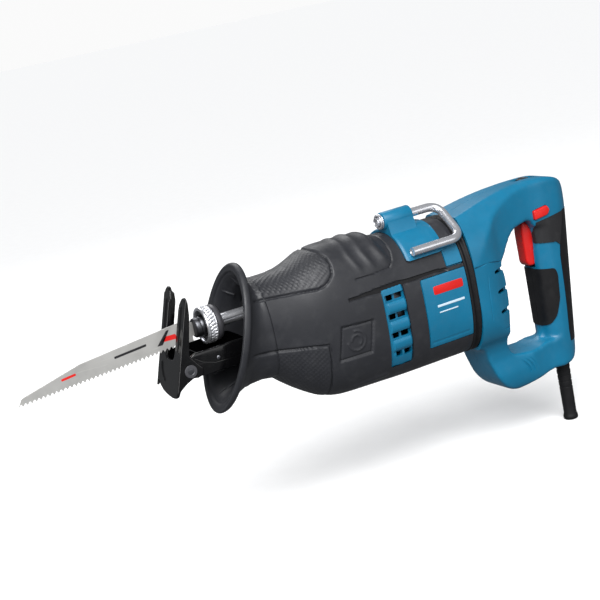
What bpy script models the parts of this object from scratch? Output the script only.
"""Reciprocating saw with a D-handle, built as separate sub-parts.

Run with: blender --background --python part.py

The saw is drawn in its own working frame, in millimetres: X runs from the blade's tip to the
handle, X = 0 is the front rim of the chuck's lock collar, and Y = Z = 0 is the plunger's axis.
-Y is the saw's left side. One empty moves that frame, so that the world's origin is the middle
of the bottom of the saw's box. Every moving group has an empty of its own on its joint's axis.
"""

from math import copysign, cos, pi, radians, sin, sqrt

import bmesh
import bpy
from mathutils import Vector

MM = 0.001
GAP = 0.3                      # room left between touching pieces
SAW = "reciprocating_saw"

# Whole saw
REAR_X = 428.5                 # back of the handle
LOWEST_Z = -224.4              # end of the cable sleeve

# Blade
BLADE_THICKNESS = 1.25
BLADE_SHOULDER_X = -10.0
BLADE_TIP_X = -182.5
BLADE_TIP_Z = -21.0
BLADE_KINK = (-119.8, 0.5)
BLADE_TOOTH_PITCH = 4.2
BLADE_TOOTH_DEPTH = 2.6
TANG_END_X = 12.0
TANG_HEIGHT = 12.6
LOCK_PIN_X = 3.0

# Chuck and plunger
CHUCK_FRONT_X = -8.0
CHUCK_REAR_X = 19.0
CHUCK_CORE_RADIUS = 9.8
COLLAR_RADIUS = 18.2
PLUNGER_RADIUS = 6.0
PLUNGER_REAR_X = 154.5
YOKE_CENTRE_X = 102.0
YOKE_HALF = (13.0, 24.0, 6.5)
STROKE_RADIUS = 14.0

# Shoe
SHOE_PIVOT = (-29.0, 0.0, -31.0)
SHOE_TILT = 18.3               # degrees that its face leans back at rest
SHOE_HALF_WIDTH = 27.0
SHOE_SLOT_HALF_WIDTH = 11.0
SHOE_FACE_AHEAD = 10.9         # from the pivot to the face's front
SHOE_SHEET = 3.0
ARM_HALF_WIDTH = 23.5
ARM_REAR_X = 94.0

# Front guard
GUARD_RIM_X = 18.8
GUARD_Z = -18.3
GUARD_RIM_HALF = (48.0, 67.0)
GUARD_LEAN = 0.35

# Housing sections: x, half width, top, bottom
HOUSING_SECTIONS = (
    (56.5, 35.0, 30.0, -66.0),
    (66.0, 37.0, 29.6, -75.0),
    (78.0, 39.5, 29.8, -85.0),
    (91.0, 42.0, 31.5, -94.0),
    (103.0, 44.5, 35.5, -100.8),
    (115.0, 46.3, 41.0, -104.2),
    (128.0, 47.2, 43.8, -105.2),
    (170.0, 47.2, 43.4, -106.4),
    (182.0, 46.8, 39.5, -106.8),
    (196.0, 46.3, 35.2, -107.0),
    (266.7, 46.0, 35.0, -107.0),
)
TOP_ROUNDNESS = 2.3
BOTTOM_ROUNDNESS = 2.8
SLEEVE_WALL = 2.5
GEAR_HOUSING_WALL = 4.0
MOTOR_HOUSING_WALL = 3.2
HOUSING_JOINT_X = 158.0
GEAR_COVER_SPLIT_Z = -62.0

# Lamp in the gear housing's nose
LENS_Y = -24.0
LENS_Z = -14.0

# Gears and motor
GEAR_CENTRE_X = 112.0
GEAR_BOTTOM_Z = -27.0
GEAR_TOP_Z = -21.0
GEAR_TEETH = 32
PINION_TEETH = 8
MOTOR_Z = -35.0
SHAFT_RADIUS = 5.0
ARMATURE_RADIUS = 21.5
STATOR_RADIUS = 38.0

# Hook
HOOK_AXIS_Y = -8.0
HOOK_AXIS_Z = 47.5
HOOK_ROD_RADIUS = 4.4
HOOK_ARM_Y = -44.4
HOOK_ARM_Z = 17.6
HOOK_REAR_X = 270.0
HOOK_BARREL_RADIUS = 8.8
HOOK_BARREL_X = (204.0, 236.5)

# Handle
HANDLE_WALL = 3.0
HANDLE_SIDE = (
    (277.0, 33.5), (290.0, 36.0), (315.0, 41.0), (338.0, 44.5), (360.0, 46.3), (382.0, 46.5),
    (402.0, 44.5), (416.0, 39.5), (424.0, 33.0), (428.0, 25.0), (428.5, 18.0), (427.0, 8.0),
    (427.0, -22.0), (427.5, -40.0), (426.0, -60.0), (422.0, -85.0), (417.5, -109.0),
    (414.5, -135.0), (412.0, -145.0), (406.0, -153.0), (397.0, -157.0), (368.0, -157.6),
    (338.0, -163.4), (322.0, -164.4), (309.0, -158.5), (300.0, -148.0), (291.5, -128.0),
    (284.0, -109.0), (277.0, -106.0),
)
HANDLE_HOLE = (
    (320.0, -23.0), (321.5, -40.0), (321.5, -60.0), (319.0, -77.0), (316.0, -90.0),
    (314.0, -100.0), (316.0, -114.0), (321.0, -123.5), (330.0, -126.0), (362.0, -126.0),
    (370.0, -122.5), (374.0, -113.0), (375.0, -91.0), (376.0, -60.0), (375.0, -43.0),
    (374.0, 0.0), (370.0, 5.0), (358.0, 4.6), (346.0, 2.0), (333.0, -9.5), (324.0, -20.5),
)
# Half of the handle's plan; past HANDLE_LEAN_X it leans forward, by HANDLE_LEAN below z = 10
HANDLE_PLAN = (
    (277.0, 45.5), (292.0, 44.0), (306.0, 39.5), (320.0, 32.0), (335.0, 26.5), (352.0, 22.5),
    (372.0, 19.5), (402.0, 19.5), (412.0, 17.8), (419.0, 14.0), (424.5, 8.5), (REAR_X, 3.0),
)
HANDLE_LEAN_X = 390.0
HANDLE_LEAN = 0.095
GRIP_NOSE = (
    (344.0, 40.0), (390.0, 40.0), (390.0, 19.5), (383.0, 17.8), (378.0, 14.2), (375.4, 9.6),
    (374.4, 5.0), (344.0, 5.0),
)
HANDLE_FRONT_VIEW = (
    (13.0, 46.5), (19.0, 43.0), (27.0, 33.0), (35.0, 22.0), (41.5, 8.0), (45.6, -18.0),
    (45.6, -62.0), (42.5, -82.0), (36.0, -97.0), (28.0, -106.0), (24.5, -116.0),
    (23.5, -152.0), (20.0, -162.0), (13.0, -168.0),
)
BACK_STRIP = (
    (440.0, 6.0), (415.0, 6.0), (403.5, -28.0), (401.5, -40.0), (401.0, -74.0), (400.0, -98.0),
    (398.5, -121.0), (399.0, -134.0), (440.0, -138.0),
)
UPPER_PAD = ((377.0, 1.5), (414.0, 5.6), (402.6, -28.0), (398.0, -24.0), (377.0, -21.0))
LOWER_PAD = (
    (360.0, -47.0), (391.0, -51.0), (393.5, -58.0), (391.5, -84.0), (385.5, -101.0),
    (378.0, -110.0), (366.0, -113.0), (360.0, -113.0),
)
PAD_PROUD = 0.8
HANDLE_SCREWS = ((350.0, 22.8, 22.0), (406.0, 19.5, 20.0), (345.0, 24.3, -142.0))
LOCK_BUTTON_OUTLINE = ((375.0, 5.4), (394.5, 8.0), (394.5, 13.4), (375.0, 11.6))
TRIGGER_PIVOT = (377.0, 0.0, 2.0)
DIAL_CENTRE = (383.0, 0.0, 35.5)
DIAL_RADIUS = 12.0
CABLE_X = 395.5

COLOURS = {
    # name: (red, green, blue, roughness, metallic)
    "blue_plastic": (0.012, 0.130, 0.260, 0.42, 0.0),
    "dark_rubber": (0.035, 0.037, 0.042, 0.72, 0.0),
    "black_rubber": (0.012, 0.012, 0.014, 0.75, 0.0),
    "grey_rubber": (0.070, 0.072, 0.075, 0.80, 0.0),
    "red_plastic": (0.620, 0.035, 0.020, 0.38, 0.0),
    "black_plastic": (0.015, 0.015, 0.017, 0.50, 0.0),
    "blade_steel": (0.520, 0.520, 0.530, 0.45, 1.0),
    "chrome_steel": (0.780, 0.780, 0.790, 0.15, 1.0),
    "grey_steel": (0.250, 0.250, 0.260, 0.40, 1.0),
    "black_painted_steel": (0.008, 0.008, 0.009, 0.30, 0.0),
    "cast_aluminium": (0.560, 0.570, 0.580, 0.50, 1.0),
    "gear_steel": (0.350, 0.350, 0.360, 0.35, 1.0),
    "sintered_bronze": (0.550, 0.330, 0.120, 0.40, 1.0),
    "copper": (0.720, 0.280, 0.120, 0.35, 1.0),
    "carbon": (0.020, 0.020, 0.020, 0.70, 0.0),
    "clear_lens": (0.850, 0.880, 0.900, 0.08, 0.0),
}


# ---------------------------------------------------------------- scene and helpers

def clear_scene():
    for existing in list(bpy.data.objects):
        bpy.data.objects.remove(existing, do_unlink=True)


def add_collection(name):
    collection = bpy.data.collections.new(name)
    bpy.context.scene.collection.children.link(collection)
    return collection


def add_materials():
    made = {}
    for name, (red, green, blue, roughness, metallic) in COLOURS.items():
        material = bpy.data.materials.new(name)
        material.use_nodes = True
        shader = material.node_tree.nodes["Principled BSDF"]
        shader.inputs["Base Color"].default_value = (red, green, blue, 1.0)
        shader.inputs["Roughness"].default_value = roughness
        shader.inputs["Metallic"].default_value = metallic
        made[name] = material
    return made


def add_empty(name, place, parent=None):
    """An empty at a place of the working frame, which carries a joint's moving pieces."""
    empty = bpy.data.objects.new(name, None)
    empty.empty_display_size = 0.02
    PARTS.objects.link(empty)
    if parent is None:
        empty.location = Vector(place) * MM
        empty["place"] = (0.0, 0.0, 0.0)
    else:
        empty.parent = parent
        empty.location = (Vector(place) - Vector(parent["place"])) * MM
        empty["place"] = place
    return empty


def add_object(name, bm, colour, carrier=None, smooth=True, centre=(0, 0, 0), rotation=(0, 0, 0)):
    """An object whose mesh is drawn in millimetres round `centre`, in the working frame."""
    bmesh.ops.scale(bm, vec=(MM, MM, MM), verts=bm.verts)
    mesh = bpy.data.meshes.new(name)
    bm.to_mesh(mesh)
    bm.free()
    made = bpy.data.objects.new(name, mesh)
    carrier = carrier or FRAME
    made.parent = carrier
    made.location = (Vector(centre) - Vector(carrier["place"])) * MM
    made.rotation_euler = rotation
    if colour is None:
        CUTTERS.objects.link(made)
        made.hide_render = True
        made.display_type = "WIRE"
        return made
    PARTS.objects.link(made)
    mesh.materials.append(MATERIALS[colour])
    if smooth:
        mesh.shade_smooth()
        mesh.set_sharp_from_angle(angle=radians(35))
    return made


def combine(target, other, operation):
    modifier = target.modifiers.new(operation.lower(), "BOOLEAN")
    modifier.operation = operation
    modifier.solver = "EXACT"
    modifier.object = other


def cut(target, *cutters):
    for cutter in cutters:
        combine(target, cutter, "DIFFERENCE")


def join(target, *others):
    for other in others:
        combine(target, other, "UNION")


def bevel(target, width, segments=2):
    modifier = target.modifiers.new("bevel", "BEVEL")
    modifier.width = width * MM
    modifier.segments = segments
    modifier.limit_method = "ANGLE"
    modifier.angle_limit = radians(40)


def box(name, low, high, colour=None, carrier=None):
    bm = bmesh.new()
    bmesh.ops.create_cube(bm, size=1.0)
    size = [b - a for a, b in zip(low, high)]
    middle = [(a + b) / 2 for a, b in zip(low, high)]
    bmesh.ops.scale(bm, vec=size, verts=bm.verts)
    bmesh.ops.translate(bm, vec=middle, verts=bm.verts)
    return add_object(name, bm, colour, carrier, smooth=False)


AXIS_TURNS = {"X": (0, pi / 2, 0), "Y": (-pi / 2, 0, 0), "Z": (0, 0, 0)}


def rod(name, axis, centre, radius, length, colour=None, carrier=None, sides=16):
    """A plain cylinder from its centre."""
    bm = bmesh.new()
    bmesh.ops.create_cone(bm, cap_ends=True, segments=sides, radius1=radius, radius2=radius,
                          depth=length)
    return add_object(name, bm, colour, carrier, True, centre, AXIS_TURNS[axis])


def turned(name, axis, centre, profile, colour=None, carrier=None, closed=False, sides=20):
    """A profile of (radius, height) turned about an axis; it runs down its outer side."""
    bm = bmesh.new()
    points = [bm.verts.new((radius, 0, height)) for radius, height in profile]
    for first, second in zip(points, points[1:]):
        bm.edges.new((first, second))
    if closed:
        bm.edges.new((points[-1], points[0]))
    made = add_object(name, bm, colour, carrier, False, centre, AXIS_TURNS[axis])
    screw = made.modifiers.new("turn", "SCREW")
    screw.axis = "Z"
    screw.steps = sides
    screw.render_steps = sides
    screw.use_merge_vertices = True
    screw.merge_threshold = 0.00001
    screw.use_smooth_shade = True
    return made


def tube(name, axis, centre, outer, bore, low, high, colour=None, carrier=None, sides=20,
         chamfer=0.5):
    """A turned ring between two heights along its axis, with its outer rims broken."""
    profile = (
        (bore, high), (outer - chamfer, high), (outer, high - chamfer), (outer, low), (bore, low),
    )
    return turned(name, axis, centre, profile, colour, carrier, True, sides)


def prism(name, outline, low, high, plane="XZ", colour=None, carrier=None, centre=(0, 0, 0),
          rotation=(0, 0, 0), smooth=False):
    """An outline in one plane, drawn out along the third axis from low to high."""
    place = {
        "XZ": lambda a, b: (a, low, b),
        "XY": lambda a, b: (a, b, low),
        "YZ": lambda a, b: (low, a, b),
    }[plane]
    along = {"XZ": (0, 1, 0), "XY": (0, 0, 1), "YZ": (1, 0, 0)}[plane]
    bm = bmesh.new()
    face = bm.faces.new([bm.verts.new(place(a, b)) for a, b in outline])
    drawn = bmesh.ops.extrude_face_region(bm, geom=[face])
    moved = [item for item in drawn["geom"] if isinstance(item, bmesh.types.BMVert)]
    bmesh.ops.translate(bm, vec=Vector(along) * (high - low), verts=moved)
    bmesh.ops.recalc_face_normals(bm, faces=bm.faces)
    return add_object(name, bm, colour, carrier, smooth, centre, rotation)


def loft(name, rings, colour=None, carrier=None, ring_shaped=False):
    """Quads between rings of equal length; open lofts are capped, ring-shaped ones closed."""
    bm = bmesh.new()
    loops = [[bm.verts.new(point) for point in ring] for ring in rings]
    pairs = list(zip(loops, loops[1:]))
    if ring_shaped:
        pairs.append((loops[-1], loops[0]))
    for first, second in pairs:
        count = len(first)
        for index in range(count):
            after = (index + 1) % count
            bm.faces.new((first[index], first[after], second[after], second[index]))
    if not ring_shaped:
        bm.faces.new(loops[0])
        bm.faces.new(loops[-1])
    bmesh.ops.recalc_face_normals(bm, faces=bm.faces)
    return add_object(name, bm, colour, carrier)


def toothed_outline(teeth, root, tip):
    """A closed outline with flat-topped teeth."""
    points = []
    for tooth in range(teeth):
        for share, radius in ((0.00, root), (0.28, root), (0.42, tip), (0.86, tip)):
            angle = 2 * pi * (tooth + share) / teeth
            points.append((radius * cos(angle), radius * sin(angle)))
    return points


def inset(outline, distance):
    """The outline moved inwards (or outwards, where negative) by one distance all round."""
    area = sum(a[0] * b[1] - b[0] * a[1] for a, b in zip(outline, outline[1:] + outline[:1]))
    side = copysign(1.0, area)
    moved = []
    for index, point in enumerate(outline):
        here = Vector(point)
        before = (here - Vector(outline[index - 1])).normalized()
        after = (Vector(outline[(index + 1) % len(outline)]) - here).normalized()
        normals = [Vector((-edge.y, edge.x)) * side for edge in (before, after)]
        middle = (normals[0] + normals[1]).normalized()
        moved.append(tuple(here + middle * distance / max(0.35, middle.dot(normals[0]))))
    return moved


def section_at(x):
    """Half width, top and bottom of the housing at a place along X."""
    rows = HOUSING_SECTIONS
    if x <= rows[0][0]:
        return rows[0][1:]
    for before, after in zip(rows, rows[1:]):
        if x <= after[0]:
            share = (x - before[0]) / (after[0] - before[0])
            return tuple(a + share * (b - a) for a, b in zip(before[1:], after[1:]))
    return rows[-1][1:]


def housing_ring(x, inwards=0.0, points=24):
    """One cross-section of the housing, a rounded shape that is flatter below."""
    half_width, top, bottom = section_at(x)
    middle = (top + bottom) / 2
    ring = []
    for index in range(points):
        angle = 2 * pi * (index + 0.5) / points
        power = 2 / (TOP_ROUNDNESS if sin(angle) > 0 else BOTTOM_ROUNDNESS)
        across = copysign(abs(cos(angle)) ** power, cos(angle))
        upward = copysign(abs(sin(angle)) ** power, sin(angle))
        height = (top - bottom) / 2 - inwards
        ring.append((x, (half_width - inwards) * across, middle + height * upward))
    return ring


def housing_stations(low, high):
    inner = [row[0] for row in HOUSING_SECTIONS if low + 1 < row[0] < high - 1]
    return [low] + inner + [high]


def housing_shell(name, low, high, outside, wall, colour, carrier=None):
    """A stretch of the housing as a tube, open at both ends."""
    stations = housing_stations(low, high)
    outer = [housing_ring(x, outside) for x in stations]
    inner = [housing_ring(x, outside + wall) for x in reversed(stations)]
    return loft(name, outer + inner, colour, carrier, ring_shaped=True)


def housing_solid(name, low, high, outside, colour=None, carrier=None):
    """A stretch of the housing as a solid."""
    return loft(name, [housing_ring(x, outside) for x in housing_stations(low, high)], colour,
                carrier)


def rounded_path(corners, radius, steps=5):
    """A path through corners, with each inner corner rounded."""
    points = [Vector(corners[0])]
    for before, corner, after in zip(corners, corners[1:], corners[2:]):
        corner = Vector(corner)
        start = corner + (Vector(before) - corner).normalized() * radius
        end = corner + (Vector(after) - corner).normalized() * radius
        for step in range(steps + 1):
            share = step / steps
            points.append((1 - share) ** 2 * start + 2 * share * (1 - share) * corner
                          + share ** 2 * end)
    points.append(Vector(corners[-1]))
    return points


def wire(name, points, radius, colour, carrier=None, cyclic=False):
    """A round rod along a path."""
    carrier = carrier or FRAME
    curve = bpy.data.curves.new(name, "CURVE")
    curve.dimensions = "3D"
    curve.bevel_depth = radius * MM
    curve.bevel_resolution = 1
    curve.use_fill_caps = not cyclic
    spline = curve.splines.new("POLY")
    spline.points.add(len(points) - 1)
    for target, point in zip(spline.points, points):
        target.co = (*((Vector(point) - Vector(carrier["place"])) * MM), 1.0)
    spline.use_cyclic_u = cyclic
    curve.materials.append(MATERIALS[colour])
    made = bpy.data.objects.new(name, curve)
    made.parent = carrier
    PARTS.objects.link(made)
    return made


# ---------------------------------------------------------------- blade, chuck and plunger

def make_blade(carrier):
    half_tang = TANG_HEIGHT / 2
    teeth = int((BLADE_SHOULDER_X - BLADE_TIP_X - 12) / BLADE_TOOTH_PITCH)
    fall = (BLADE_TIP_Z + 11.2) / (BLADE_TIP_X - BLADE_SHOULDER_X)
    outline = [
        (TANG_END_X, -half_tang), (TANG_END_X, half_tang), (BLADE_SHOULDER_X, half_tang),
        (BLADE_SHOULDER_X, 10.6), BLADE_KINK, (-178.0, -13.7),
    ]
    for tooth in range(teeth):
        x = BLADE_TIP_X + tooth * BLADE_TOOTH_PITCH
        z = BLADE_TIP_Z + fall * (x - BLADE_TIP_X)
        outline.append((x, z))
        outline.append((x + 0.72 * BLADE_TOOTH_PITCH, z + BLADE_TOOTH_DEPTH))
    outline.append((BLADE_SHOULDER_X - 8, -11.6))
    outline.append((BLADE_SHOULDER_X, -11.2))
    outline.append((BLADE_SHOULDER_X, -half_tang))
    half = BLADE_THICKNESS / 2
    blade = prism("saw_blade", outline, -half, half, "XZ", "blade_steel", carrier)
    cut(blade, rod("cut_tang_hole", "Y", (LOCK_PIN_X, 0, 0), 2.0, 6, None, carrier, 16))


def make_chuck(carrier, collar_carrier):
    length = CHUCK_REAR_X - CHUCK_FRONT_X
    profile = (
        (0, length), (CHUCK_CORE_RADIUS - 0.6, length), (CHUCK_CORE_RADIUS, length - 0.6),
        (CHUCK_CORE_RADIUS, 1.2), (CHUCK_CORE_RADIUS - 1.2, 0), (0, 0),
    )
    body = turned("chuck_body", "X", (CHUCK_FRONT_X, 0, 0), profile, "grey_steel", carrier)
    slot = box("cut_blade_slot", (-9.0, -0.95, -6.6), (13.0, 0.95, 6.6), None, carrier)
    bore = rod("cut_chuck_bore", "X", (17.5, 0, 0), 4.3, 6.2, None, carrier)
    pin_hole = rod("cut_pin_hole", "Y", (LOCK_PIN_X, 0, 0), 1.9, 24, None, carrier, 16)
    cut(body, slot, bore, pin_hole)
    rod("blade_lock_pin", "Y", (LOCK_PIN_X, 0, 0), 1.5, 18, "gear_steel", carrier, 16)

    collar = (
        (10.2, 10.6), (17.0, 10.6), (COLLAR_RADIUS, 9.6), (COLLAR_RADIUS, 1.0), (17.2, 0.0),
        (10.2, 0.0),
    )
    turned("chuck_lock_collar", "X", (0, 0, 0), collar, "chrome_steel", collar_carrier, True, 24)
    cap = (
        (10.2, 18.0), (14.0, 18.0), (16.2, 16.6), (17.4, 13.6), (17.4, 11.0), (10.2, 11.0),
    )
    turned("chuck_rear_cap", "X", (0, 0, 0), cap, "grey_steel", carrier, True, 24)


def make_plunger(carrier):
    half_x, half_y, half_z = YOKE_HALF
    front = YOKE_CENTRE_X - half_x
    rear = YOKE_CENTRE_X + half_x
    profile = (
        (0, PLUNGER_REAR_X), (PLUNGER_RADIUS - 1, PLUNGER_REAR_X),
        (PLUNGER_RADIUS, PLUNGER_REAR_X - 1), (PLUNGER_RADIUS, rear - 1), (0, rear - 1),
    )
    tail = turned("join_plunger_tail", "X", (0, 0, 0), profile, None, carrier, False, 16)
    nose = turned("plunger_rod", "X", (0, 0, 0), (
        (0, front + 1), (PLUNGER_RADIUS, front + 1), (PLUNGER_RADIUS, CHUCK_REAR_X + GAP),
        (4.0, CHUCK_REAR_X + GAP), (4.0, 14.8), (0, 14.8),
    ), "chrome_steel", carrier, False, 16)
    yoke = box("join_yoke", (front, -half_y, -half_z), (rear, half_y, half_z), None, carrier)
    slot = box("cut_yoke_slot", (YOKE_CENTRE_X - 5.5, -19.5, -9), (YOKE_CENTRE_X + 5.5, 19.5, 9),
               None, carrier)
    join(nose, yoke, tail)
    cut(nose, slot)


def make_plunger_bushes():
    tube("plunger_seal", "X", (0, 0, 0), 11.5, 6.4, 47.0, 50.7, "black_rubber", None, 16)
    tube("front_bush", "X", (0, 0, 0), 11.7, 6.3, 51.0, 80.0, "sintered_bronze", None, 16)
    tube("rear_bush", "X", (0, 0, 0), 10.0, 6.3, 142.0, 153.0, "sintered_bronze", None, 16)


# ---------------------------------------------------------------- shoe

def make_shoe(carrier):
    """One pressed-steel U: a slotted face, and two ears that the pivot pin goes through.

    Its right prong stands taller than the left, and has the deeper ear.
    """
    front = -SHOE_FACE_AHEAD
    side = SHOE_HALF_WIDTH
    slot = SHOE_SLOT_HALF_WIDTH
    face = (
        (-side, 0), (-side, 58), (-24.5, 64), (-20, 66.5), (-15, 64), (-slot, 58), (-slot, 12),
        (-7, 6), (7, 6), (slot, 12), (slot, 64), (14, 71), (18.5, 73), (23.5, 70.5), (side, 64),
        (side, 0), (26, -9), (21, -17), (13, -22), (0, -25.5), (-16, -27), (-24, -26),
        (-side, -22),
    )
    turn = (0, radians(SHOE_TILT), 0)
    plate = prism("shoe_plate", face, front, SHOE_SHEET + front, "YZ", "black_painted_steel",
                  carrier, SHOE_PIVOT, turn)
    foot = ((12, 4), (13, -3), (8, -6), (4, -6.2), (-2.5, -12), (-8, -19), (front, -22))
    left_ear = ((front, 63), (-9.5, 66), (-8, 62), (-5.5, 50), (-4, 30), (-2, 14), (6, 8)) + foot
    right_ear = ((front, 66), (-7, 71), (-1, 66), (0.8, 58), (1, 18), (6, 8)) + foot
    for ear, outer, inner, name in ((left_ear, -side, SHOE_SHEET - side, "left"),
                                    (right_ear, side, side - SHOE_SHEET, "right")):
        flange = prism("join_shoe_ear_" + name, ear, min(inner, outer), max(inner, outer), "XZ",
                       None, carrier, SHOE_PIVOT, turn)
        join(plate, flange)
    cut(plate, rod("cut_shoe_pin_hole", "Y", SHOE_PIVOT, 4.35, 60, None, carrier, 20))


def make_shoe_arm(carrier):
    """A channel that slides in the gear housing and carries the shoe on a pin."""
    wall = 3.0
    side_view = (
        (-35.5, -28), (-33, -25), (-29, -23), (-22, -17), (33, -17), (43, -24), (50, -30),
        (ARM_REAR_X, -30),
        (ARM_REAR_X, -40), (-14, -40), (-24, -38.5), (-32, -38), (-35.5, -34),
    )
    arm = prism("shoe_arm", side_view, -ARM_HALF_WIDTH, ARM_HALF_WIDTH, "XZ",
                "black_painted_steel", carrier)
    inner = ARM_HALF_WIDTH - wall
    hollow = box("cut_arm_hollow", (-60, -inner, -40 + wall), (ARM_REAR_X + 9, inner, 0), None,
                 carrier)
    front = box("cut_arm_front", (-60, -inner, -60), (-18, inner, 0), None, carrier)
    cut(arm, hollow, front)
    cut(arm, rod("cut_arm_pin_hole", "Y", SHOE_PIVOT, 4.35, 60, None, carrier, 20))
    head = SHOE_HALF_WIDTH + GAP
    pin = (
        (0, head + 1.4), (5.5, head + 1.4), (6, head + 0.8), (6, head), (4, head),
        (4, -SHOE_HALF_WIDTH), (3.4, -SHOE_HALF_WIDTH - 1), (0, -SHOE_HALF_WIDTH - 1),
    )
    turned("shoe_pivot_pin", "Y", SHOE_PIVOT, pin, "chrome_steel", carrier, False, 20)


def make_shoe_lock_button(carrier):
    profile = (
        (0, 41.5), (4.6, 41.5), (6, 40.2), (6, 31.0), (4, 31.0), (4, 26.5), (0, 26.5),
    )
    turned("shoe_lock_button", "Y", (70, 0, -34), profile, "red_plastic", carrier, False, 20)


# ---------------------------------------------------------------- guard and housings

def oval(x, z, half_width, half_height, lean, points=28):
    """An upright oval whose top leans back by `lean` of its height."""
    ring = []
    for index in range(points):
        angle = 2 * pi * index / points
        up = half_height * sin(angle)
        ring.append((x + lean * up, half_width * cos(angle), z + up))
    return ring


def make_front_guard():
    rings = (
        oval(GUARD_RIM_X, GUARD_Z, *GUARD_RIM_HALF, GUARD_LEAN),
        oval(GUARD_RIM_X + 6.0, GUARD_Z, 47.7, 66.6, GUARD_LEAN),
        oval(GUARD_RIM_X + 8.5, GUARD_Z, 43.5, 60.5, GUARD_LEAN),
        oval(40.0, -17.6, 36.5, 48.5, 0.24),
        oval(50.0, -17.6, 35.2, 46.6, 0.06),
        oval(56.2, -17.6, 35.0, 47.6, 0.0),
        oval(56.2, -17.6, 31.0, 43.4, 0.0),
        oval(42.0, -17.6, 32.5, 45.5, 0.16),
        oval(GUARD_RIM_X, GUARD_Z, 40.5, 58.0, GUARD_LEAN),
    )
    loft("front_guard", rings, "dark_rubber", None, ring_shaped=True)


def make_rubber_sleeve():
    """The rubber skin over the gear housing and motor housing, with windows at each side."""
    sleeve = housing_shell("rubber_sleeve", HOUSING_SECTIONS[0][0], HOUSING_SECTIONS[-1][0], 0.0,
                           SLEEVE_WALL, "dark_rubber")
    for side, name in ((-1, "left"), (1, "right")):
        near, far = sorted((side * 20, side * 60))
        cut(sleeve, box("cut_vent_window_" + name, (168, near, -89), (195, far, -8)))
        cut(sleeve, box("cut_label_window_" + name, (213, near, -83), (262, far, -12)))
        cut(sleeve, box("cut_side_window_" + name, (247, near, -9), (262, far, 12)))
    cut(sleeve, rod("cut_button_hole_sleeve", "Y", (70, 40, -34), 6.4, 40))


def make_gear_housing():
    outside = SLEEVE_WALL + GAP
    parts = (("gear_housing", GEAR_COVER_SPLIT_Z - 200, GEAR_COVER_SPLIT_Z),
             ("gear_housing_cover", GEAR_COVER_SPLIT_Z - GAP, GEAR_COVER_SPLIT_Z + 200))
    for name, low, high in parts:
        shell = housing_solid(name, 58.0, HOUSING_JOINT_X, outside, "cast_aluminium")
        room = housing_solid("cut_room_" + name, 62.0, HOUSING_JOINT_X + 9,
                             outside + GEAR_HOUSING_WALL)
        cut(shell, room)
        cut(shell, box("cut_half_" + name, (40, -90, low), (190, 90, high)))
        if name == "gear_housing":
            join(shell, rod("join_plunger_boss", "X", (67.5, 0, 0), 16.0, 29.0))
            cut(shell, rod("cut_bush_bore", "X", (67, 0, 0), 12.0, 60))
            slot_half = ARM_HALF_WIDTH + 0.5
            cut(shell, box("cut_arm_slot", (50, -slot_half, -40.5), (64, slot_half, -23.5)))
            cut(shell, rod("cut_button_hole_housing", "Y", (70, 40, -34), 6.4, 40))
            cut(shell, rod("cut_lens_seat", "X", (60, LENS_Y, LENS_Z), 4.4, 20))


def make_led_lens():
    profile = (
        (0, 61.0), (4.0, 61.0), (4.0, 57.6), (5.4, 57.6), (5.4, 56.4), (3.6, 55.0), (0, 54.4),
    )
    turned("led_lens", "X", (0, LENS_Y, LENS_Z), profile, "clear_lens", None, False, 20)


def make_bearing_bridge():
    """The cast wall between the gears and the motor, with a seat for each bearing."""
    outside = SLEEVE_WALL + GAP + GEAR_HOUSING_WALL + GAP
    bridge = housing_solid("bearing_bridge", 143.0, 153.0, outside, "cast_aluminium")
    cut(bridge, rod("cut_rear_bush_seat", "X", (148, 0, 0), 10.3, 30))
    cut(bridge, rod("cut_motor_bearing_seat", "X", (148, 0, MOTOR_Z), 14.3, 30))


def make_motor_housing():
    outside = SLEEVE_WALL + GAP
    housing = housing_solid("motor_housing", HOUSING_JOINT_X + GAP, 266.7, outside,
                            "blue_plastic")
    room = housing_solid("cut_motor_room", HOUSING_JOINT_X - 9, 257.5,
                         outside + MOTOR_HOUSING_WALL)
    cut(housing, room)
    cut(housing, rod("cut_rear_bearing_seat", "X", (262, 0, MOTOR_Z), 11.3, 30))
    slot_height = 6.5
    for row in range(5):
        low = -84.5 + row * 15.5
        cut(housing, box(f"cut_vent_{row}", (173, -60, low), (192, 60, low + slot_height)))
    for side, name in ((-1, "left"), (1, "right")):
        near, far = sorted((side * 22, side * 32))
        cut(housing, box("cut_wire_way_" + name, (250, near, -60), (280, far, -12)))


# ---------------------------------------------------------------- gears and motor

def make_crank_gear(carrier):
    middle_x = GEAR_CENTRE_X
    centre = (middle_x, 0, 0)
    gear = prism("crank_gear", toothed_outline(GEAR_TEETH, 28.2, 30.0), GEAR_BOTTOM_Z,
                 GEAR_TOP_Z, "XY", "gear_steel", carrier, centre)
    pin_x = YOKE_CENTRE_X
    pin_y = sqrt(STROKE_RADIUS ** 2 - (GEAR_CENTRE_X - YOKE_CENTRE_X) ** 2)
    cut(gear, rod("cut_gear_bore", "Z", (middle_x, 0, -24), 6.3, 20, None, carrier))
    cut(gear, rod("cut_pin_seat", "Z", (pin_x, pin_y, -24), 3.3, 20, None, carrier, 16))
    pin = (
        (0, -7.1), (4.5, -7.1), (5, -7.6), (5, GEAR_TOP_Z + GAP), (3, GEAR_TOP_Z + GAP),
        (3, GEAR_BOTTOM_Z + 0.5), (0, GEAR_BOTTOM_Z + 0.5),
    )
    turned("crank_pin", "Z", (pin_x, pin_y, 0), pin, "chrome_steel", carrier, False, 20)
    shaft = (
        (0, -17.5), (8.4, -17.5), (9, -18.1), (9, GEAR_TOP_Z + GAP), (6, GEAR_TOP_Z + GAP),
        (6, -60.0), (0, -60.0),
    )
    turned("gear_shaft", "Z", (middle_x, 0, 0), shaft, "gear_steel", carrier, False, 24)


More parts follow.
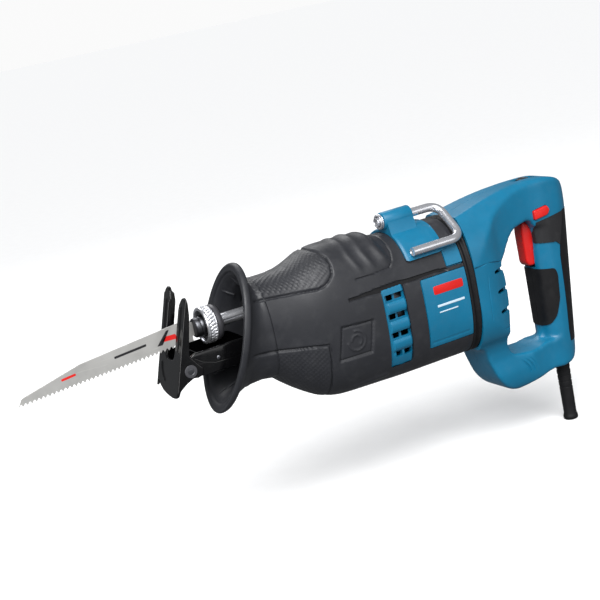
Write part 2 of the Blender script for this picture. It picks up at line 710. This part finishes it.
def make_gear_bearing():
    centre = (GEAR_CENTRE_X, 0, 0)
    tube("gear_bearing", "Z", centre, 15.0, 6.3, -58.0, -48.0, "grey_steel", None, 16)
    plate = box("gear_bearing_plate", (94, -32, -60), (131, 32, -46), "cast_aluminium")
    cut(plate, rod("cut_gear_bearing_seat", "Z", (GEAR_CENTRE_X, 0, -50), 15.3, 60))


def make_armature(carrier):
    axis = (0, 0, MOTOR_Z)
    profile = (
        (0, 266.4), (SHAFT_RADIUS - 0.5, 266.4), (SHAFT_RADIUS, 265.9), (SHAFT_RADIUS, 141.3),
        (4.0, 141.3), (4.0, 127.0), (0, 127.0),
    )
    turned("armature_shaft", "X", axis, profile, "gear_steel", carrier, False, 20)
    pinion = prism("pinion", toothed_outline(PINION_TEETH, 5.9, 7.4), 128.0, 141.0, "YZ",
                   "gear_steel", carrier, axis)
    cut(pinion, rod("cut_pinion_bore", "X", (134, 0, MOTOR_Z), 4.3, 30, None, carrier, 20))
    bore = rod("cut_armature_bore", "X", (210, 0, MOTOR_Z), SHAFT_RADIUS + GAP, 160, None,
               carrier, 20)
    core = prism("armature_core", toothed_outline(12, 17.5, ARMATURE_RADIUS), 190.0, 234.0,
                 "YZ", "grey_steel", carrier, axis)
    cut(core, bore)
    fan = prism("cooling_fan", toothed_outline(9, 11.0, 26.0), 160.0, 171.0, "YZ",
                "black_plastic", carrier, axis)
    cut(fan, bore)
    tube("commutator", "X", axis, 12.5, SHAFT_RADIUS + GAP, 241.0, 254.0, "copper", carrier, 16)


def make_motor_bearings():
    axis = (0, 0, MOTOR_Z)
    bore = SHAFT_RADIUS + GAP
    tube("front_motor_bearing", "X", axis, 14.0, bore, 144.0, 152.0, "grey_steel", None, 16)
    tube("rear_motor_bearing", "X", axis, 11.0, bore, 258.5, 265.5, "grey_steel", None, 16)


def make_stator():
    axis = (0, 0, MOTOR_Z)
    stator = tube("stator_core", "X", axis, STATOR_RADIUS, ARMATURE_RADIUS + 0.8, 187.0, 237.0,
                  "grey_steel", None, 24)
    slot_radius = 29.0
    corners = {}
    for turn in (45, 135, 225, 315):
        angle = radians(turn)
        corners[turn] = (slot_radius * cos(angle), MOTOR_Z + slot_radius * sin(angle))
        cut(stator, rod(f"cut_coil_slot_{turn}", "X", (212, *corners[turn]), 4.0, 70, None,
                        None, 12))
    for name, first in (("field_coil_upper", 45), ("field_coil_lower", 225)):
        points = []
        for x, turns in ((183.0, range(first, first + 91, 15)),
                         (241.5, range(first + 90, first - 1, -15))):
            for turn in turns:
                angle = radians(turn)
                points.append((x, slot_radius * cos(angle), MOTOR_Z + slot_radius * sin(angle)))
        wire(name, points, 3.3, "copper", None, True)


def make_brushes():
    for side, name in ((-1, "left"), (1, "right")):
        low, high = sorted((side * 14.5, side * 36))
        holder = box("brush_holder_" + name, (242.5, low, MOTOR_Z - 6), (252.5, high, MOTOR_Z + 6),
                     "sintered_bronze")
        cut(holder, box("cut_brush_way_" + name, (244.2, low - 9, MOTOR_Z - 4.3),
                        (250.8, high + 9, MOTOR_Z + 4.3)))
        low, high = sorted((side * 13.0, side * 31))
        box("carbon_brush_" + name, (244.5, low, MOTOR_Z - 4), (250.5, high, MOTOR_Z + 4),
            "carbon")


# ---------------------------------------------------------------- hook

def make_hook_bracket():
    """A saddle over the sleeve, with a barrel along its top that the hook's leg turns in."""
    saddle = housing_shell("hook_bracket", 206.0, 250.0, -(GAP + 3.0), 3.0, "blue_plastic")
    cut(saddle, box("cut_saddle_skirt", (190, -80, -160), (260, 80, 9)))
    front, rear = HOOK_BARREL_X
    barrel = rod("join_hook_barrel", "X", ((front + rear) / 2, HOOK_AXIS_Y, HOOK_AXIS_Z),
                 HOOK_BARREL_RADIUS, rear - front)
    web = box("join_hook_web", (206, HOOK_AXIS_Y - 8, 30), (rear, HOOK_AXIS_Y + 8, 45))
    body = housing_solid("cut_saddle_inside", 200.0, 250.0, -GAP)
    join(saddle, barrel, web)
    cut(saddle, body)
    bore = HOOK_ROD_RADIUS + GAP + 0.1
    cut(saddle, rod("cut_hook_bore", "X", (223, HOOK_AXIS_Y, HOOK_AXIS_Z), bore, 60))
    tube("hook_detent_spring", "X", (0, HOOK_AXIS_Y, HOOK_AXIS_Z), 8.0, bore, 200.2, front - GAP,
         "chrome_steel", None, 16)


def make_hanging_hook(carrier):
    corners = (
        (198.0, HOOK_AXIS_Y, HOOK_AXIS_Z), (HOOK_REAR_X, HOOK_AXIS_Y, HOOK_AXIS_Z),
        (HOOK_REAR_X, HOOK_ARM_Y, HOOK_ARM_Z), (212.0, HOOK_ARM_Y, HOOK_ARM_Z),
    )
    wire("hanging_hook", rounded_path(corners, 11.0), HOOK_ROD_RADIUS, "chrome_steel", carrier)


# ---------------------------------------------------------------- handle

def make_damping_ring():
    rings = []
    for grow, x in ((0.2, 267.0), (0.2, 276.7), (-6.0, 276.7), (-6.0, 267.0)):
        ring = housing_ring(267, -grow)
        rings.append([(x, y, z) for _, y, z in ring])
    loft("damping_ring", rings, "black_rubber", None, ring_shaped=True)


def handle_plan_ring(z, smaller):
    """The handle's plan at one height; its back follows the grip's lean."""
    lean = HANDLE_LEAN * min(0.0, z - 10.0)
    half = [(x + (lean if x > HANDLE_LEAN_X else 0.0), y) for x, y in HANDLE_PLAN]
    return [(x, y, z) for x, y in inset(half + [(x, -y) for x, y in reversed(half)], smaller)]


def handle_solid(name, smaller, colour=None):
    """The whole D-handle's outer form, or the same form all round smaller."""
    side = inset(list(HANDLE_SIDE), smaller)
    hole = inset(list(HANDLE_HOLE), -smaller)
    form = prism(name, side, -60, 60, "XZ", colour, None, smooth=True)
    cut(form, prism("cut_hole_" + name, hole, -90, 90))
    for turn, which in ((1, "right"), (-1, "left")):
        nose = [(x, turn * y) for x, y in GRIP_NOSE]
        cut(form, prism(f"cut_nose_{which}_{name}", inset(nose, -smaller), -114, -3, "XY"))
    plan = loft("keep_plan_" + name, [handle_plan_ring(z, smaller) for z in (-300, 10, 200)])
    front = inset(list(HANDLE_FRONT_VIEW) + [(-y, z) for y, z in reversed(HANDLE_FRONT_VIEW)],
                  smaller)
    combine(form, plan, "INTERSECT")
    combine(form, prism("keep_front_" + name, front, 200, 500, "YZ"), "INTERSECT")
    return form


def make_handle():
    room = handle_solid("cut_handle_room", HANDLE_WALL)
    openings = [
        prism("cut_back_strip", inset(list(BACK_STRIP), -GAP), -90, 90),
        box("cut_trigger_way", (355, -8.4, -47.5), (388, 8.4, 4.2)),
        box("cut_dial_way", (369.5, -5.2, 20), (396.5, 5.2, 60)),
        rod("cut_sleeve_way", "Z", (CABLE_X, 0, -160), 7.9, 20),
        prism("cut_lock_button_way", inset(list(LOCK_BUTTON_OUTLINE), -0.4), -40, -10),
    ]
    for side, name in ((-1, "left"), (1, "right")):
        shell = handle_solid("handle_shell_" + name, 0.0, "blue_plastic")
        cut(shell, room, *openings)
        away = sorted((side * GAP / 2, side * -99))
        cut(shell, box("cut_other_half_" + name, (200, away[0], -300), (500, away[1], 100)))
        if name == "right":
            for number, (x, y, z) in enumerate(HANDLE_SCREWS):
                seat = rod(f"cut_screw_seat_{number}", "Y", (x, y + 2.7, z), 4.0, 10.0, None,
                           None, 12)
                hole = rod(f"cut_screw_hole_{number}", "Y", (x, y - 3, z), 1.9, 12.0, None,
                           None, 12)
                cut(shell, seat, hole)
    strip = handle_solid("grip_back_rubber", 0.0, "black_rubber")
    combine(strip, prism("keep_back_strip", BACK_STRIP, -90, 90), "INTERSECT")
    cut(strip, handle_solid("cut_strip_room", HANDLE_WALL))


def make_handle_screws():
    profile = (
        (0, -0.2), (3.1, -0.2), (3.7, -0.8), (3.7, -2.0), (1.6, -2.0), (1.6, -7.0), (0, -7.0),
    )
    for number, (x, y, z) in enumerate(HANDLE_SCREWS):
        turned(f"handle_screw_{number + 1}", "Y", (x, y, z), profile, "grey_steel", None, False,
               12)


def make_grip_pads():
    """Soft skins on both sides of the grip, which follow its surface."""
    for name, outline, colour in (("upper", UPPER_PAD, "grey_rubber"),
                                  ("lower", LOWER_PAD, "black_rubber")):
        for side, hand in ((-1, "left"), (1, "right")):
            node = f"grip_pad_{name}_{hand}"
            pad = handle_solid(node, -GAP - PAD_PROUD, colour)
            near, far = sorted((side * 9.0, side * 60.0))
            combine(pad, prism("keep_" + node, outline, near, far), "INTERSECT")
            cut(pad, handle_solid("cut_under_" + node, -GAP))


def make_trigger(carrier):
    outline = (
        (367.5, 1.5), (366.2, -8.0), (365.6, -20.0), (366.0, -32.0), (367.2, -40.0),
        (370.5, -44.6), (377.0, -44.6), (384.0, -41.0), (384.0, 2.0), (378.0, 3.4),
        (370.0, 3.4),
    )
    trigger = prism("trigger", outline, -7.6, 7.6, "XZ", "red_plastic", carrier)
    bevel(trigger, 1.6)


def make_switch_module():
    box("switch_module", (391.5, -11.5, -38), (412.5, 11.5, 2.5), "black_plastic")


def make_lock_button(carrier):
    prism("lock_on_button", LOCK_BUTTON_OUTLINE, -22.2, -12.5, "XZ", "red_plastic", carrier)


def make_speed_dial(carrier):
    dial = toothed_outline(16, DIAL_RADIUS - 0.7, DIAL_RADIUS)
    prism("speed_dial", dial, -4.5, 4.5, "XZ", "black_plastic", carrier, DIAL_CENTRE)


def make_control_module():
    box("control_module", (348, -11.5, -152), (378, 11.5, -131), "black_plastic")


def make_cable_sleeve():
    length = -147.5 - LOWEST_Z
    profile = (
        (4.0, length), (8.3, length), (8.3, length - 3.0), (7.6, length - 3.0),
        (6.9, 6.0), (7.9, 4.0), (7.9, 1.5), (6.9, 0.0), (3.6, 0.0),
    )
    turned("cable_sleeve", "Z", (CABLE_X, 0, LOWEST_Z), profile, "black_rubber", None, True, 16)


def make_cable_clamp():
    clamp = box("cable_clamp", (385, -10, -146), (402, 10, -140), "black_plastic")
    cut(clamp, rod("cut_cable_way", "Z", (CABLE_X, 0, -143), 4.0, 20, None, None, 16))


# ---------------------------------------------------------------- the whole saw

clear_scene()
PARTS = add_collection(SAW)
CUTTERS = add_collection("cutters")
MATERIALS = add_materials()
FRAME = add_empty("saw_frame", (-(BLADE_TIP_X + REAR_X) / 2, 0.0, -LOWEST_Z))

plunger = add_empty("axis_plunger", (0.0, 0.0, 0.0), FRAME)
collar = add_empty("axis_lock_collar", (0.0, 0.0, 0.0), FRAME)
arm = add_empty("axis_shoe_arm", (0.0, 0.0, -34.0), FRAME)
shoe = add_empty("axis_shoe", SHOE_PIVOT, FRAME)
shoe_button = add_empty("axis_shoe_lock_button", (70.0, 0.0, -34.0), FRAME)
crank = add_empty("axis_crank_gear", (GEAR_CENTRE_X, 0.0, 0.0), FRAME)
armature = add_empty("axis_armature", (0.0, 0.0, MOTOR_Z), FRAME)
hook = add_empty("axis_hook", (223.0, HOOK_AXIS_Y, HOOK_AXIS_Z), FRAME)
trigger_axis = add_empty("axis_trigger", TRIGGER_PIVOT, FRAME)
lock_button = add_empty("axis_lock_on_button", (385.0, -20.0, 9.5), FRAME)
dial_axis = add_empty("axis_speed_dial", DIAL_CENTRE, FRAME)

make_blade(plunger)
make_chuck(plunger, collar)
make_plunger(plunger)
make_plunger_bushes()
make_shoe(shoe)
make_shoe_arm(arm)
make_shoe_lock_button(shoe_button)
make_front_guard()
make_rubber_sleeve()
make_gear_housing()
make_led_lens()
make_bearing_bridge()
make_motor_housing()
make_crank_gear(crank)
make_gear_bearing()
make_armature(armature)
make_motor_bearings()
make_stator()
make_brushes()
make_hook_bracket()
make_hanging_hook(hook)
make_damping_ring()
make_handle()
make_handle_screws()
make_grip_pads()
make_trigger(trigger_axis)
make_switch_module()
make_lock_button(lock_button)
make_speed_dial(dial_axis)
make_control_module()
make_cable_sleeve()
make_cable_clamp()
